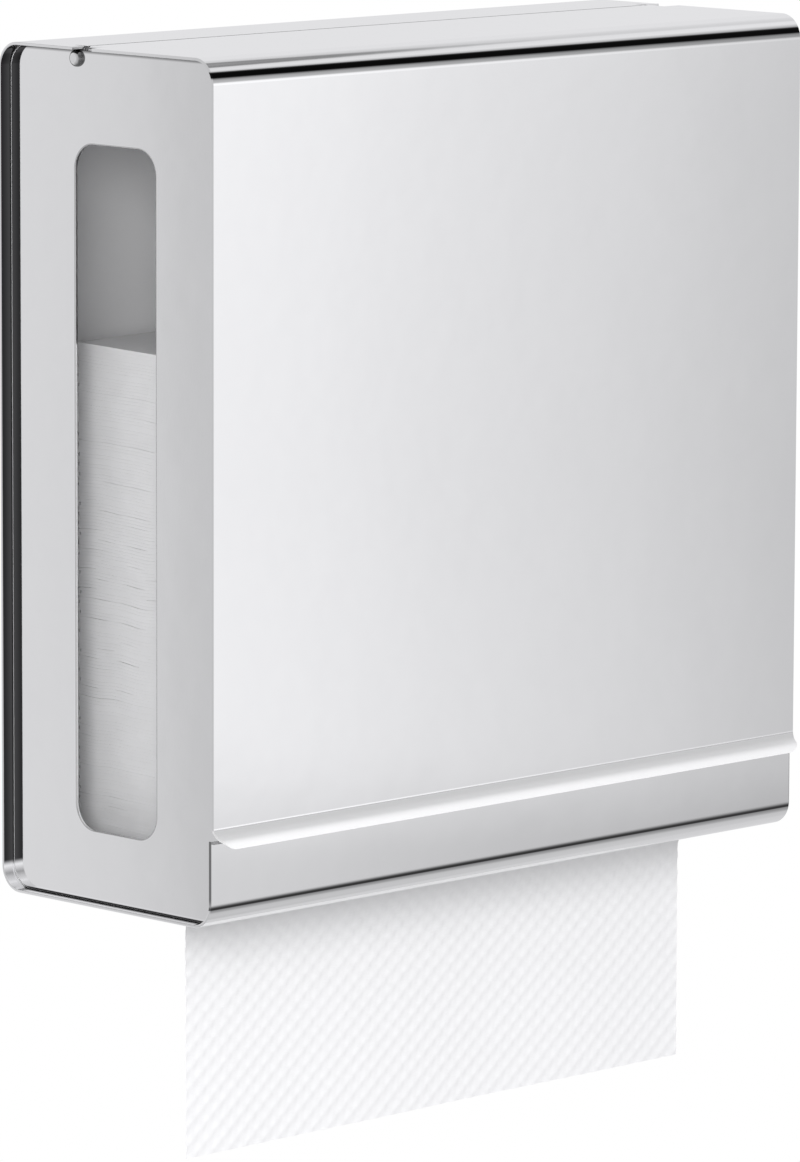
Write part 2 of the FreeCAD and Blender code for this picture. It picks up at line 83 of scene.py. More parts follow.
class Signal:
    """A shader socket whose operators add the nodes that work them out."""

    __add__ = __radd__ = worked_out("ADD")
    __sub__ = worked_out("SUBTRACT")
    __mul__ = __rmul__ = worked_out("MULTIPLY")
    __truediv__ = worked_out("DIVIDE")

    def __init__(self, board: "NodeBoard", socket: bpy.types.NodeSocket) -> None:
        """Keeps the board that new nodes go on, and the socket itself."""
        self.board = board
        self.socket = socket

    def __rsub__(self, other: float) -> "Signal":
        """Returns a number less this socket."""
        return self * -1.0 + other

    def math(self, operation: str, *others: "Signal | float") -> "Signal":
        """Returns a Math node's value for this socket and the others."""
        values = {0: self} | {i + 1: other for i, other in enumerate(others)}
        return self.board.node("Math", {"operation": operation}, values)

    def between(self, low: float, high: float) -> "Signal":
        """Returns a smooth step from 0 at low to 1 at high."""
        return self.board.node(
            "MapRange",
            {"interpolation_type": "SMOOTHSTEP"},
            {"Value": self, "From Min": low, "From Max": high},
        )

    def ramp(self, stops: Sequence[Point]) -> "Signal":
        """Returns the value that this socket has along a list of stops.

        Args:
            stops: pairs of input and value, in rising order of input.

        Returns:
            The value between the stops.
        """
        low, high = stops[0][0], stops[-1][0]
        shares = [((at - low) / (high - low), value) for at, value in stops]
        along = (self - low) / (high - low)
        return self.board.node("ValToRGB", {"stops": shares}, {0: along})


class NodeBoard:
    """Adds nodes and links to one node tree."""

    def __init__(self, tree: bpy.types.NodeTree) -> None:
        """Empties the tree."""
        self.tree = tree
        tree.nodes.clear()

    def node(
        self,
        kind: str,
        settings: dict[str, Any] | None = None,
        inputs: dict[str | int, Any] | None = None,
        output: str | int = 0,
    ) -> Signal:
        """Adds one node.

        Args:
            kind: the shader node's type.
            settings: what the node is set to before its sockets are filled.
            inputs: the value or the link of each socket.
            output: the socket that is returned.

        Returns:
            The chosen output.
        """
        added = self.tree.nodes.new(f"ShaderNode{kind}")
        for name, value in (settings or {}).items():
            if name == "stops":
                self._set_stops(added.color_ramp, value)
            else:
                setattr(added, name, value)
        for name, value in (inputs or {}).items():
            if isinstance(value, Signal):
                self.tree.links.new(value.socket, added.inputs[name])
            else:
                added.inputs[name].default_value = value
        return Signal(self, added.outputs[output]) if added.outputs else None

    @staticmethod
    def _set_stops(ramp: bpy.types.ColorRamp, stops: Sequence[Point]) -> None:
        """Fills a ramp with grey stops."""
        while len(ramp.elements) < len(stops):
            ramp.elements.new(0.5)
        for element, (at, _) in zip(ramp.elements, stops):
            element.position = at
        for element, (at, value) in zip(ramp.elements, stops):
            element.position = at
            element.color = (value, value, value, 1.0)

    def place(self, axis: int) -> Signal:
        """Returns the object coordinate along an axis, in metres."""
        place = self.node("TexCoord", output="Object")
        return self.node("SeparateXYZ", None, {0: place}, axis)

    def step(self, axis: int, low: float, high: float) -> Signal:
        """Returns a smooth step along an axis, for X on both sides of the middle.

        Args:
            axis: 0 for X, 1 for Y and 2 for Z.
            low: where the step is 0, in millimetres.
            high: where it is 1.

        Returns:
            The step, from 0 to 1.
        """
        place = self.place(axis)
        if axis == 0:
            place = place.math("ABSOLUTE")
        return place.between(low * MM, high * MM)

    def rays(self) -> tuple[Signal, ...]:
        """Returns whether a ray is a camera, a glossy or a transmission ray."""
        path = self.node("LightPath").socket.node
        names = ("Is Camera Ray", "Is Glossy Ray", "Is Transmission Ray")
        return tuple(Signal(self, path.outputs[name]) for name in names)

    def noise(
        self, size: float, detail: float = 2.0, stretch: Sequence[float] = (1, 1, 1)
    ) -> Signal:
        """Returns noise on object coordinates.

        Args:
            size: the width of its largest spots, in millimetres.
            detail: how many finer layers it has.
            stretch: how much longer the spots are along each axis.

        Returns:
            A value around 0.5.
        """
        place = self.node("TexCoord", output="Object")
        scale = tuple(1.0 / (size * MM * s) for s in stretch)
        placed = self.node("Mapping", None, {"Vector": place, "Scale": scale})
        values = {"Vector": placed, "Scale": 1.0, "Detail": detail}
        return self.node("TexNoise", None, values)

    def tint(
        self,
        factor: Signal,
        low: "Signal | Sequence[float]",
        high: "Signal | Sequence[float]",
    ) -> Signal:
        """Returns a colour mixed from two by a factor."""
        ends = [end if isinstance(end, Signal) else (*end, 1.0) for end in (low, high)]
        values = {0: factor, 6: ends[0], 7: ends[1]}
        return self.node("Mix", {"data_type": "RGBA"}, values, 2)

    def bump(
        self, height: Signal, distance: float, under: Signal | None = None
    ) -> Signal:
        """Returns a normal bumped by a height.

        Args:
            height: the height, from 0 to 1.
            distance: the height of 1, in millimetres.
            under: the normal that this one is laid over.

        Returns:
            The bumped normal.
        """
        values: dict[str, Any] = {"Height": height, "Distance": distance * MM}
        if under:
            values["Normal"] = under
        return self.node("Bump", None, values)


def new_material(name: str) -> tuple[bpy.types.Material, NodeBoard]:
    """Returns a new material and the board of its nodes."""
    material = bpy.data.materials.new(name)
    material.use_nodes = True
    return material, NodeBoard(material.node_tree)


# Finishes


@dataclass(frozen=True)
class Coat:
    """A finish that one principled shader shows."""

    name: str

    def inputs(self, board: NodeBoard) -> dict[str, Any]:
        """Returns the link or value of each of the shader's sockets."""
        raise NotImplementedError

    def make(self) -> bpy.types.Material:
        """Returns the finish as a material."""
        material, board = new_material(self.name)
        shader = board.node("BsdfPrincipled", None, self.inputs(board))
        board.node("OutputMaterial", None, {"Surface": shader})
        return material


@dataclass(frozen=True)
class SheetFinish(Coat):
    """Stainless sheet: a polished outside, or the duller inside of a fold.

    The dark and light lines painted on the sheet are painted shade, painted reflections
    and painted highlights, at fixed places.  The ranges below are where each starts and
    ends to show, in millimetres.
    """

    # Where painted light lies: shade along the panel's top and foot, dark reflection
    # stripes on the front bends, shade round the rivet's middle, shade in the recess
    # past the panel, shade on the wrap's front end faces, and highlight and shade round
    # the window.
    SEAM_TOP, SEAM_FOOT = (146.3, 147.3), (-147.6, -147.0)
    FRONT_BEND, PIN_ROOM = (-98.5, -97.5), (1.5, 2.7)
    RECESS_FOOT, RECESS_DEPTH = (-141.0, -138.5), (141.5, 146.0)
    RECESS_REAR = (-62.0, -50.0)
    CUT_END, CUT_FRONT, CUT_FOOT = (145.6, 145.8), (-104.0, -103.0), (-143.0, -138.0)
    WINDOW_MIDDLE, WINDOW_HALF, WINDOW_ROUND = (-54.25, -3.75), (20.25, 119.25), 9.0

    colour: Colour = grey(0.82)
    shade: Colour = grey(0.80, 0.003)
    roughness: float = 0.05
    roughness_spread: float = 0.02
    grain: float = 0.0006
    ripple: float = 0.004
    metallic: float = 1.0
    polished_and_shaded_past: float = 0.0
    worn_and_painted_below: float = 0.0
    painted_seams_and_rim: bool = False
    painted_cut_edge: bool = False
    painted_reflections: tuple[Point, ...] = ()
    pin: Point | None = None

    def inputs(self, board: NodeBoard) -> dict[str, Any]:
        """Returns the link or value of each of the shader's sockets."""
        cloud = board.noise(55.0, 3.0)
        grain = board.noise(0.35, 2.0, (1, 1, 9))
        wear = board.noise(7.0, 4.0)
        rough = self.roughness + self.roughness_spread * (
            (cloud - 0.5) + (grain - 0.5) * 0.5
        )
        metal: Signal | float = self.metallic
        colour = board.tint(wear, self.shade, self.colour)
        # Painted shade: near-black lines along the panel's top and foot, where it meets
        # the cover and the wrap; then painted light round the window.
        if self.painted_seams_and_rim:
            top = board.step(2, *self.SEAM_TOP) * 0.65
            foot = 1 - board.step(2, *self.SEAM_FOOT)
            colour = board.tint(top.math("MAXIMUM", foot), colour, grey(0.045, 0.001))
            colour = self._paint_window_rim_light(board, colour)
        # Painted reflection: dark stripes across the bends at the front, where the
        # polished bends mirror a dark part of the studio.
        if self.painted_reflections:
            bent = 1 - board.step(1, *self.FRONT_BEND)
            left = (board.place(2) / MM).ramp(self.painted_reflections)
            colour = board.tint(bent * (1 - left), colour, grey(0.0))
        # Painted shade: the rivet is painted dark within a few millimetres of the hinge
        # axis, over its shank and the middle of its head.
        if self.pin is not None:
            y = board.place(1) / MM - self.pin[0]
            z = board.place(2) / MM - self.pin[1]
            away = (y * y + z * z).math("SQRT").between(*self.PIN_ROOM)
            colour = board.tint(away, colour, grey(0.16))
        # Past the panel the inside is polished, and its recess is painted dark: painted
        # shade, darkest towards the sheet's edge.
        if self.polished_and_shaded_past:
            rim = board.step(0, self.polished_and_shaded_past - 0.3, self.polished_and_shaded_past)
            rough = rough * (1 - rim) + 0.09 * rim
            metal = self.metallic + (1.0 - self.metallic) * rim
            deep = board.step(0, *self.RECESS_DEPTH)
            dark = board.tint(deep, grey(0.065, 0.001), grey(0.025, 0.001))
            shown = board.step(2, *self.RECESS_FOOT) * board.step(1, *self.RECESS_REAR)
            colour = board.tint(rim * shown, colour, dark)
        # Painted shade: the wrap's front end faces, where the strip meets the panel,
        # are painted dark.
        if self.painted_cut_edge:
            end = board.step(0, *self.CUT_END) * board.step(2, *self.CUT_FOOT)
            front = 1 - board.step(1, *self.CUT_FRONT)
            colour = board.tint(end * front, colour, grey(0.21))
        # The lip is rougher and less metallic, as wear; its colour is painted light: a
        # darker stripe at its top, a painted shade, and a near-white stripe lower down,
        # a painted highlight.
        if self.worn_and_painted_below:
            foot = self.worn_and_painted_below
            worn_and_shaded = 1 - board.step(2, foot - 1.0, foot)
            painted_highlight_band = 1 - board.step(2, foot - 5.4, foot - 1.8)
            rough = rough + worn_and_shaded * 0.40
            metal = self.metallic - worn_and_shaded * 0.62 - painted_highlight_band * 0.32
            colour = board.tint(worn_and_shaded, colour, grey(0.70))
            colour = board.tint(painted_highlight_band, colour, grey(0.96))
        normal = board.bump(cloud, self.ripple * 10)
        normal = board.bump(grain, self.grain, normal)
        return {
            "Base Color": colour,
            "Metallic": metal,
            "Roughness": rough,
            "Normal": normal,
        }

    def _paint_window_rim_light(self, board: NodeBoard, colour: Signal) -> Signal:
        """Paints light and shade round the window's eased edge.

        Args:
            board: the material's board.
            colour: the colour of the plain sheet.

        Returns:
            The colour with the edge.
        """
        middle, half, radius = self.WINDOW_MIDDLE, self.WINDOW_HALF, self.WINDOW_ROUND
        y, z = (
            (
                (board.place(i + 1) / MM - middle[i]).math("ABSOLUTE")
                - (half[i] - radius)
            ).math("MAXIMUM", 0.0)
            for i in range(2)
        )
        away = (y * y + z * z).math("SQRT") - radius
        depth = board.place(0).math("ABSOLUTE") / MM
        # A painted darker line on the outer rim, a painted highlight on the rear end
        # face of the opening, and painted shadow at the inner edge.
        rim = away.between(-0.4, -0.2) * (1 - away.between(0.35, 0.6))
        outer = rim * depth.between(141.35, 141.45)
        colour = board.tint(outer, colour, grey(0.5))
        rear = (board.place(1) / MM).between(-40.0, -36.0)
        painted_cut_edge = rim * rear * (1 - depth.between(141.25, 141.4))
        colour = board.tint(painted_cut_edge, colour, grey(0.98))
        inner = rim * (1 - depth.between(140.65, 140.8))
        return board.tint(inner, colour, grey(0.08))


@dataclass(frozen=True)
class MouldedFinish(Coat):
    """Dull moulded plastic or rubber with a fine skin."""

    dark: Colour
    light: Colour
    roughness: float

    def inputs(self, board: NodeBoard) -> dict[str, Any]:
        """Returns the link or value of each of the shader's sockets."""
        skin = board.noise(0.4, 3.0)
        patch = board.noise(3.0, 2.0)
        return {
            "Base Color": board.tint(patch, self.dark, self.light),
            "Roughness": self.roughness + (patch - 0.5) * 0.15,
            "Normal": board.bump(skin, 0.03),
        }


@dataclass(frozen=True)
class PaperFinish(Coat):
    """White crepe paper: fibres, faint crepe lines and a soft bright colour."""

    shade: Colour = grey(0.88, 0.005)
    colour: Colour = grey(0.94, 0.005)
    crepe: tuple[float, ...] = (6, 1, 1)
    depth: float = 0.05
    shadow: tuple[Point, ...] = ()

    def inputs(self, board: NodeBoard) -> dict[str, Any]:
        """Returns the link or value of each of the shader's sockets."""
        crepe = board.noise(0.5, 2.0, self.crepe)
        fibres = board.noise(0.18, 3.0)
        patch = board.noise(9.0, 3.0)
        normal = board.bump(crepe, self.depth)
        normal = board.bump(fibres, 0.02, normal)
        colour = board.tint((patch + fibres) * 0.5, self.shade, self.colour)
        if self.shadow:
            left = (board.place(2) / MM).ramp(self.shadow)
            colour = board.tint(1 - left, colour, grey(0.0))
        return {
            "Base Color": colour,
            "Roughness": 0.86 + (fibres - 0.5) * 0.12,
            "Specular IOR Level": 0.25,
            "Sheen Weight": 0.08,
            "Normal": normal,
        }


class Finish(Enum):
    """The finishes on the dispenser."""

    # The case sheet carries a painted dark reflection across its low front bend and
    # painted shade on its front end faces.
    CASE = SheetFinish(
        "polished_case",
        grey(0.79),
        grey(0.77, 0.003),
        painted_reflections=(
            (-142.1, 1.0), (-141.9, 0.2), (-141.59, 0.107),
            (-141.21, 0.18), (-140.82, 0.58), (-140.4, 1.0),
        ),
        painted_cut_edge=True,
    )
    # The side panels carry painted shade along top and foot, and painted light round
    # the window.
    PANEL = SheetFinish("polished_panel", grey(0.845), grey(0.825, 0.003), painted_seams_and_rim=True)
    # The cover carries a painted dark reflection across its top front bend, and painted
    # shade and a painted highlight on its lip, which is also rougher.
    COVER = SheetFinish(
        "polished_cover",
        worn_and_painted_below=-113.6,
        painted_reflections=(
            (141.9, 1.0), (142.3, 0.6), (142.5, 0.15), (142.65, 0.01),
            (144.15, 0.01), (144.4, 0.2), (144.65, 1.0),
        ),
    )
    MILL = SheetFinish(
        "mill_sheet", grey(0.97, 0.005), grey(0.94, 0.005), 0.46, 0.08, 0.003,
        metallic=0.35,
    )
    # The case's inside is painted dark in the recess past the panel: painted shade.
    RECESS = replace(MILL, name="mill_case", polished_and_shaded_past=141.4, painted_cut_edge=True)
    RIVET = SheetFinish(
        "bright_rivet", grey(0.80), grey(0.7), 0.06, 0.03, 0.0003, 0.0,
        pin=HINGE,
    )
    WASHER = MouldedFinish("washer_nylon", grey(0.74, -0.02), grey(0.82, -0.02), 0.45)
    BUMPER = MouldedFinish("bumper_rubber", grey(0.05), grey(0.08), 0.62)
    # The stacked plies are a darker copy of the towel paper: painted shade of the stack
    # inside the case.
    PLIES = PaperFinish(
        "towel_plies_painted_shade", grey(0.56, 0.005), grey(0.68, 0.005), (30, 30, 1.6), 0.04
    )
    SHEET = PaperFinish(
        "towel_sheet",
        shadow=((-181, 1.0), (-172, 0.98), (-165, 0.91), (-158, 0.80), (-150, 0.73)),
    )

    @property
    def material(self) -> bpy.types.Material:
        """The finish's material, made at its first use."""
        return bpy.data.materials.get(self.value.name) or self.value.make()


# The workbench


class Part(Enum):
    """What is picked on a mesh."""

    VERTS = "VERT"
    EDGES = "EDGE"
    FACES = "FACE"


def mm(*values: float) -> tuple[float, ...]:
    """Returns millimetres as metres."""
    return tuple(value * MM for value in values)


def where(along: str = "", across: str = "", **places: float | Point) -> Test:
    """Returns a test of a place and a direction, to pick parts with.

    Args:
        along: the axis that the direction runs along, if it matters.
        across: the axis that it runs across, if it matters.
        places: for an axis, a place in millimetres, or the two it lies between.

    Returns:
        The test.
    """

    def test(at: Vector, way: Vector) -> bool:
        """Tells whether both are as asked."""
        for axis, wanted in places.items():
            if not isinstance(wanted, tuple):
                wanted = (wanted - SAME, wanted + SAME)
            if not wanted[0] < getattr(at, axis) < wanted[1]:
                return False
        if along and abs(getattr(way, along)) <= 0.9:
            return False
        return not across or abs(getattr(way, across)) < 0.1

    return test


@dataclass
class Workpiece:
    """One piece on the bench, shaped with edit-mode operators."""

    obj: bpy.types.Object

    @classmethod
    def start(cls, name: str, kind: str, **settings: Any) -> "Workpiece":
        """Adds a primitive as the start of a piece.

        Args:
            name: the piece's name.
            kind: the primitive, as its operator calls it.
            settings: the operator's own settings.

        Returns:
            The piece, with its place in its mesh.
        """
        bpy.ops.object.select_all(action="DESELECT")
        getattr(bpy.ops.mesh, f"primitive_{kind}_add")(**settings)
        obj = bpy.context.active_object
        obj.name = obj.data.name = name
        bpy.ops.object.transform_apply(location=True, rotation=True, scale=True)
        return cls(obj)

    @classmethod
    def block(
        cls, name: str, low: Sequence[float], high: Sequence[float]
    ) -> "Workpiece":
        """Adds a block between two corners in millimetres."""
        piece = cls.start(name, "cube", size=1.0)
        piece.size(
            mm(*(b - a for a, b in zip(low, high))),
            mm(*((a + b) / 2 for a, b in zip(low, high))),
        )
        return piece

    @staticmethod
    def size(size: Sequence[float], middle: Sequence[float]) -> None:
        """Gives the active unit piece its size and place, in metres."""
        bpy.ops.transform.resize(value=size)
        bpy.ops.transform.translate(value=middle)
        bpy.ops.object.transform_apply(location=True, rotation=True, scale=True)

    @classmethod
    def rod(
        cls, name: str, radius: float, ends: Point, axis: str, across: Point, sides: int
    ) -> "Workpiece":
        """Adds a round rod along an axis.

        Args:
            name: the piece's name.
            radius: its radius in millimetres.
            ends: where it starts and ends along the axis.
            axis: X, Y or Z.
            across: its place on the other two axes, in their order.
            sides: how many sides it has.

        Returns:
            The rod.
        """
        turn = {"X": (0, math.pi / 2, 0), "Y": (math.pi / 2, 0, 0), "Z": (0, 0, 0)}
        place = list(across)
        place.insert("XYZ".index(axis), sum(ends) / 2)
        return cls.start(
            name,
            "cylinder",
            vertices=sides,
            radius=radius * MM,
            depth=abs(ends[1] - ends[0]) * MM,
            location=mm(*place),
            rotation=turn[axis],
        )

    @classmethod
    def strip(
        cls, name: str, corners: Sequence[Point], half_wide: float
    ) -> "Workpiece":
        """Adds a strip of sheet, at mid thickness, that runs through corners.

        Args:
            name: the piece's name.
            corners: the (y, z) corners; the first run is level and goes forward
                or back.
            half_wide: half the strip's width.

        Returns:
            The strip, its corners still sharp.
        """
        (y0, z0), (y1, _) = corners[:2]
        piece = cls.start(name, "plane", size=1.0)
        size = (2 * half_wide * MM, abs(y1 - y0) * MM, 1.0)
        piece.size(size, mm(0, (y0 + y1) / 2, z0))
        with piece.editing():
            for (ya, za), (yb, zb) in zip(corners[1:], corners[2:]):
                piece.pick(Part.EDGES, where(x=0, y=ya, z=za))
                piece.extrude(0, yb - ya, zb - za)
            bpy.ops.mesh.select_all(action="SELECT")
            bpy.ops.mesh.normals_make_consistent(inside=False)
        return piece

    def take(self) -> None:
        """Selects the piece alone and makes it the active one."""
        bpy.ops.object.select_all(action="DESELECT")
        self.obj.select_set(True)
        bpy.context.view_layer.objects.active = self.obj

    def face_up(self) -> None:
        """Turns a strip's faces so that those on top look up."""
        with self.editing():
            if not self.pick(Part.FACES, lambda at, way: way.z > 0.9 and at.z > 100):
                bpy.ops.mesh.select_all(action="SELECT")
                bpy.ops.mesh.flip_normals()

    @contextmanager
    def editing(self) -> Iterator[None]:
        """Keeps the piece in edit mode while the block runs."""
        self.take()
        bpy.ops.object.mode_set(mode="EDIT")
        yield
        bpy.ops.object.mode_set(mode="OBJECT")

    def pick(self, part: Part, test: Test) -> int:
        """Selects the parts of the mesh that pass a test, and nothing else.

        Args:
            part: vertices, edges or faces.
            test: takes the place in millimetres, and the direction of an edge
                or the normal of a face or vertex.

        Returns:
            How many passed.
        """
        bpy.ops.mesh.select_mode(type=part.value)
        bpy.ops.mesh.select_all(action="DESELECT")
        mesh = bmesh.from_edit_mesh(self.obj.data)
        picked = 0
        if part is Part.VERTS:
            rows = [(v, v.co, v.normal) for v in mesh.verts]
        elif part is Part.EDGES:
            rows = [
                (e, (e.verts[0].co + e.verts[1].co) / 2, e.verts[1].co - e.verts[0].co)
                for e in mesh.edges
            ]
        else:
            rows = [(f, f.calc_center_bounds(), f.normal) for f in mesh.faces]
        for item, place, direction in rows:
            chosen = test(place / MM, direction.normalized())
            item.select_set(chosen)
            picked += chosen
        mesh.select_flush_mode()
        bmesh.update_edit_mesh(self.obj.data)
        return picked

    @staticmethod
    def extrude(x: float, y: float, z: float) -> None:
        """Extrudes what is selected by a step in millimetres."""
        bpy.ops.mesh.extrude_region_move(TRANSFORM_OT_translate={"value": mm(x, y, z)})

    def bevel(
        self, test: Test, width: float, steps: int, part: Part = Part.EDGES
    ) -> None:
        """Rounds the edges or the vertices that pass a test."""
        self.pick(part, test)
        bpy.ops.mesh.bevel(
            offset=width * MM,
            segments=steps,
            profile=0.5,
            affect="VERTICES" if part is Part.VERTS else "EDGES",
            clamp_overlap=False,
        )

    def modify(self, kind: str, **settings: Any) -> None:
        """Adds a modifier, sets it and applies it."""
        self.take()
        modifier = self.obj.modifiers.new(kind.lower(), kind)
        for name, value in settings.items():
            setattr(modifier, name, value)
        bpy.ops.object.modifier_apply(modifier=modifier.name)

    def thicken(self, thickness: float, outside: Finish, inside: Finish) -> None:
        """Gives a mid-thickness strip its thickness and its duller inside."""
        self.paint(outside, inside)
        self.modify(
            "SOLIDIFY",
            thickness=thickness * MM,
            offset=0.0,
            use_even_offset=True,
            material_offset=1,
        )

    def paint(self, *finishes: Finish) -> None:
        """Adds finishes to the piece."""
        for finish in finishes:
            self.obj.data.materials.append(finish.material)

    def boolean(self, tool: "Workpiece", operation: str = "DIFFERENCE") -> None:
        """Cuts, joins or trims the piece with a tool, which is then gone."""
        self.modify("BOOLEAN", object=tool.obj, operation=operation, solver="EXACT")
        spent = tool.obj.data
        bpy.data.objects.remove(tool.obj)
        bpy.data.meshes.remove(spent)

    def clean(self) -> None:
        """Merges doubles and turns every face outwards."""
        with self.editing():
            bpy.ops.mesh.select_all(action="SELECT")
            bpy.ops.mesh.remove_doubles(threshold=0.002 * MM)
            bpy.ops.mesh.normals_make_consistent(inside=False)

    def ease(self, width: float) -> None:
        """Breaks every sharp edge by a width, and shades the piece smooth."""
        self.clean()
        self.modify(
            "BEVEL",
            width=width * MM,
            segments=2,
            limit_method="ANGLE",
            angle_limit=40.0 * DEGREE,
            use_clamp_overlap=True,
        )
        self.smooth(50.0)
        self.modify("WEIGHTED_NORMAL", mode="FACE_AREA", weight=50, keep_sharp=True)

    def smooth(self, angle: float) -> None:
        """Shades the piece smooth, but sharp where it turns more than an angle."""
        self.take()
        bpy.ops.object.shade_smooth_by_angle(angle=angle * DEGREE)

    def copy(self, name: str, mirrored: bool = False) -> "Workpiece":
        """Copies the piece with its own mesh.

        Args:
            name: the copy's name.
            mirrored: whether the copy is for the other side.

        Returns:
            The copy.
        """
        obj = self.obj.copy()
        obj.data = self.obj.data.copy()
        obj.name = obj.data.name = name
        bpy.context.scene.collection.objects.link(obj)
        if mirrored:
            obj.data.transform(Matrix.Scale(-1.0, 4, Vector((1.0, 0.0, 0.0))))
            obj.data.flip_normals()
        return Workpiece(obj)

    def join(self, others: Sequence["Workpiece"]) -> None:
        """Joins other pieces into this one."""
        self.take()
        for piece in others:
            piece.obj.select_set(True)
        bpy.ops.object.join()

    def stand_for(self, node: str, body: str, slot: str) -> None:
        """Rides on a body in place of a CAD node."""
        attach(self.obj, body)
        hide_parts(node)
        faces = len(self.obj.data.polygons)
        log.info("%s: %d faces, on %s", self.obj.name, faces, body)


def rounded_block(
    name: str, low: Sequence[float], high: Sequence[float], along: str, radius: float
) -> Workpiece:
    """Returns a block whose four edges along an axis are rounded.

    Args:
        name: the piece's name.
        low: its lowest corner.
        high: its highest corner.
        along: the axis that the rounded edges run along.
        radius: their radius.

    Returns:
        The block.
    """
    piece = Workpiece.block(name, low, high)
    with piece.editing():
        piece.bevel(where(along.lower()), radius, 14)
    return piece


# The case


@dataclass
class Case:
    """The fixed part: one bent sheet, two side panels and the hinge rivets."""

    half_wide: float = 146.0
    half_tall: float = 149.0
    depth: float = 106.5
    sheet: float = 1.0
    bend: float = 8.5
    rear_strip: float = 37.5
    strip_top: float = -118.0
    panel_out: float = 141.5
    panel_in: float = 140.5
    flange_end: float = 132.5
    panel_round: float = 8.4
    eased: float = 0.13
    pin: Point = HINGE
    pin_round: float = 1.55
    slot_half: float = 130.0
    slot_y: Point = (-73.25, -33.25)
    wall_holes: Point = (115.0, 100.0)
    wall_hole_round: float = 2.75
    ear_room_x: Point = (138.4, 140.2)
    window_y: Point = (-74.5, -34.0)
    window_z: Point = (-123.0, 115.5)
    rivet_round: float = 3.0
    rivet_out: float = -143.3

    def build(self) -> None:
        """Builds every piece of the case."""
        self._build_wrap()
        self._build_panels()
        self._build_rivets()
        self._dress_small_parts()

    def _build_wrap(self) -> None:
        """Bends the sheet from the top's rear strip to the low front strip."""
        half = self.sheet / 2
        top, foot = self.half_tall - half, half - self.half_tall
        front = half - self.depth
        corners = [
            (-self.rear_strip, top), (-half, top), (-half, foot),
            (front, foot), (front, self.strip_top),
        ]
        wrap = Workpiece.strip("case_wrap", corners, self.half_wide)
        wrap.face_up()
        with wrap.editing():
            for y, z in corners[1:-1]:
                wrap.bevel(where("x", y=y, z=z), self.bend, 16)
        wrap.thicken(self.sheet, Finish.CASE, Finish.RECESS)
        low, high = zip((-self.slot_half, self.slot_half), self.slot_y, (-152, -145))
        wrap.boolean(rounded_block("slot", low, high, "Z", 8.0))
        for x in (-self.wall_holes[0], self.wall_holes[0]):
            for z in (-self.wall_holes[1], self.wall_holes[1]):
                hole = Workpiece.rod(
                    "hole", self.wall_hole_round, (-4, 4), "Y", (x, z), 32
                )
                wrap.boolean(hole)
        for _, side in SIDES:
            left, right = sorted(side * x for x in self.ear_room_x)
            wrap.boolean(
                Workpiece.block("ear_room", (left, -38.5, 146), (right, -32.3, 152))
            )
        wrap.ease(self.eased)
        wrap.stand_for("body_wrap", "case", "satin_steel")

    def _build_panels(self) -> None:
        """Makes one side panel with its window and flanges, and its mirror."""
        outer, inner, end = -self.panel_out, -self.panel_in, -self.flange_end
        past = (-143.0, -139.0)
        panel = Workpiece.block("left_panel", (outer, -105.5, -148), (inner, -1, 148))
        with panel.editing():
            panel.bevel(where("x"), self.panel_round, 12)
            panel.bevel(where(across="x", x=outer), 0.8, 5)
        for low, high in (
            ((inner - 0.5, -2, -136.6), (end, -1, 136.6)),
            ((inner - 0.5, -94.1, -148), (end, -12.4, -147)),
            ((inner - 0.5, -105.5, -136.6), (end, -104.5, 136.2)),
            ((inner - 0.5, -27, 147), (end, -12.4, 148)),
        ):
            panel.boolean(Workpiece.block("flange", low, high), "UNION")
        panel.boolean(
            Workpiece.block("top_step", (past[0], -108, 147.6), (past[1], -37.5, 149))
        )
        low, high = zip(past, self.window_y, self.window_z)
        panel.boolean(rounded_block("window", low, high, "X", 9.0))
        with panel.editing():
            room = 0.5
            rim_y, rim_z = (
                (ends[0] - room, ends[1] + room)
                for ends in (self.window_y, self.window_z)
            )
            panel.bevel(where(across="x", x=outer, y=rim_y, z=rim_z), 0.26, 4)
        panel.boolean(
            Workpiece.rod("pin_hole", self.pin_round, past, "X", self.pin, 32)
        )
        panel.paint(Finish.PANEL, Finish.MILL)
        panel.ease(self.eased)
        for face in panel.obj.data.polygons:
            face.material_index = int(face.center.x > (inner - 0.05) * MM)
        twin = panel.copy("right_panel", mirrored=True)
        panel.stand_for("left_side_panel", "case", "satin_steel")
        twin.stand_for("right_side_panel", "case", "satin_steel")

    def _build_rivets(self) -> None:
        """Turns one rivet with its domed head, and its mirror."""
        ends = (self.rivet_out, -self.panel_out)
        rivet = Workpiece.rod("left_rivet", self.rivet_round, ends, "X", self.pin, 56)
        middle = Vector(mm(0, *self.pin))
        with rivet.editing():
            rivet.bevel(where(across="x", x=self.rivet_out), 1.55, 10)
            rivet.pick(Part.FACES, lambda _, way: way.x > 0.9)
            bpy.ops.mesh.inset(thickness=1.5 * MM)
            rivet.extrude(2.85, 0, 0)
            bpy.ops.mesh.extrude_region_move()
            bpy.ops.transform.resize(value=(1, 1.6, 1.6), center_override=middle)
            rivet.extrude(0.8, 0, 0)
        rivet.paint(Finish.RIVET)
        rivet.ease(0.08)
        twin = rivet.copy("right_rivet", mirrored=True)
        rivet.stand_for("left_hinge_rivet", "case", "bright_steel")
        twin.stand_for("right_hinge_rivet", "case", "bright_steel")

    @staticmethod
    def _dress_small_parts() -> None:
        """Gives the CAD washers and bumpers their finishes."""
        for side, _ in SIDES:
            for node, finish in (
                (f"{side}_hinge_washer", Finish.WASHER),
                (f"{side}_cover_bumper", Finish.BUMPER),
            ):
                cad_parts[node].data.materials.clear()
                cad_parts[node].data.materials.append(finish.material)
                log.info("%s: %s", node, finish.value.name)


# The cover


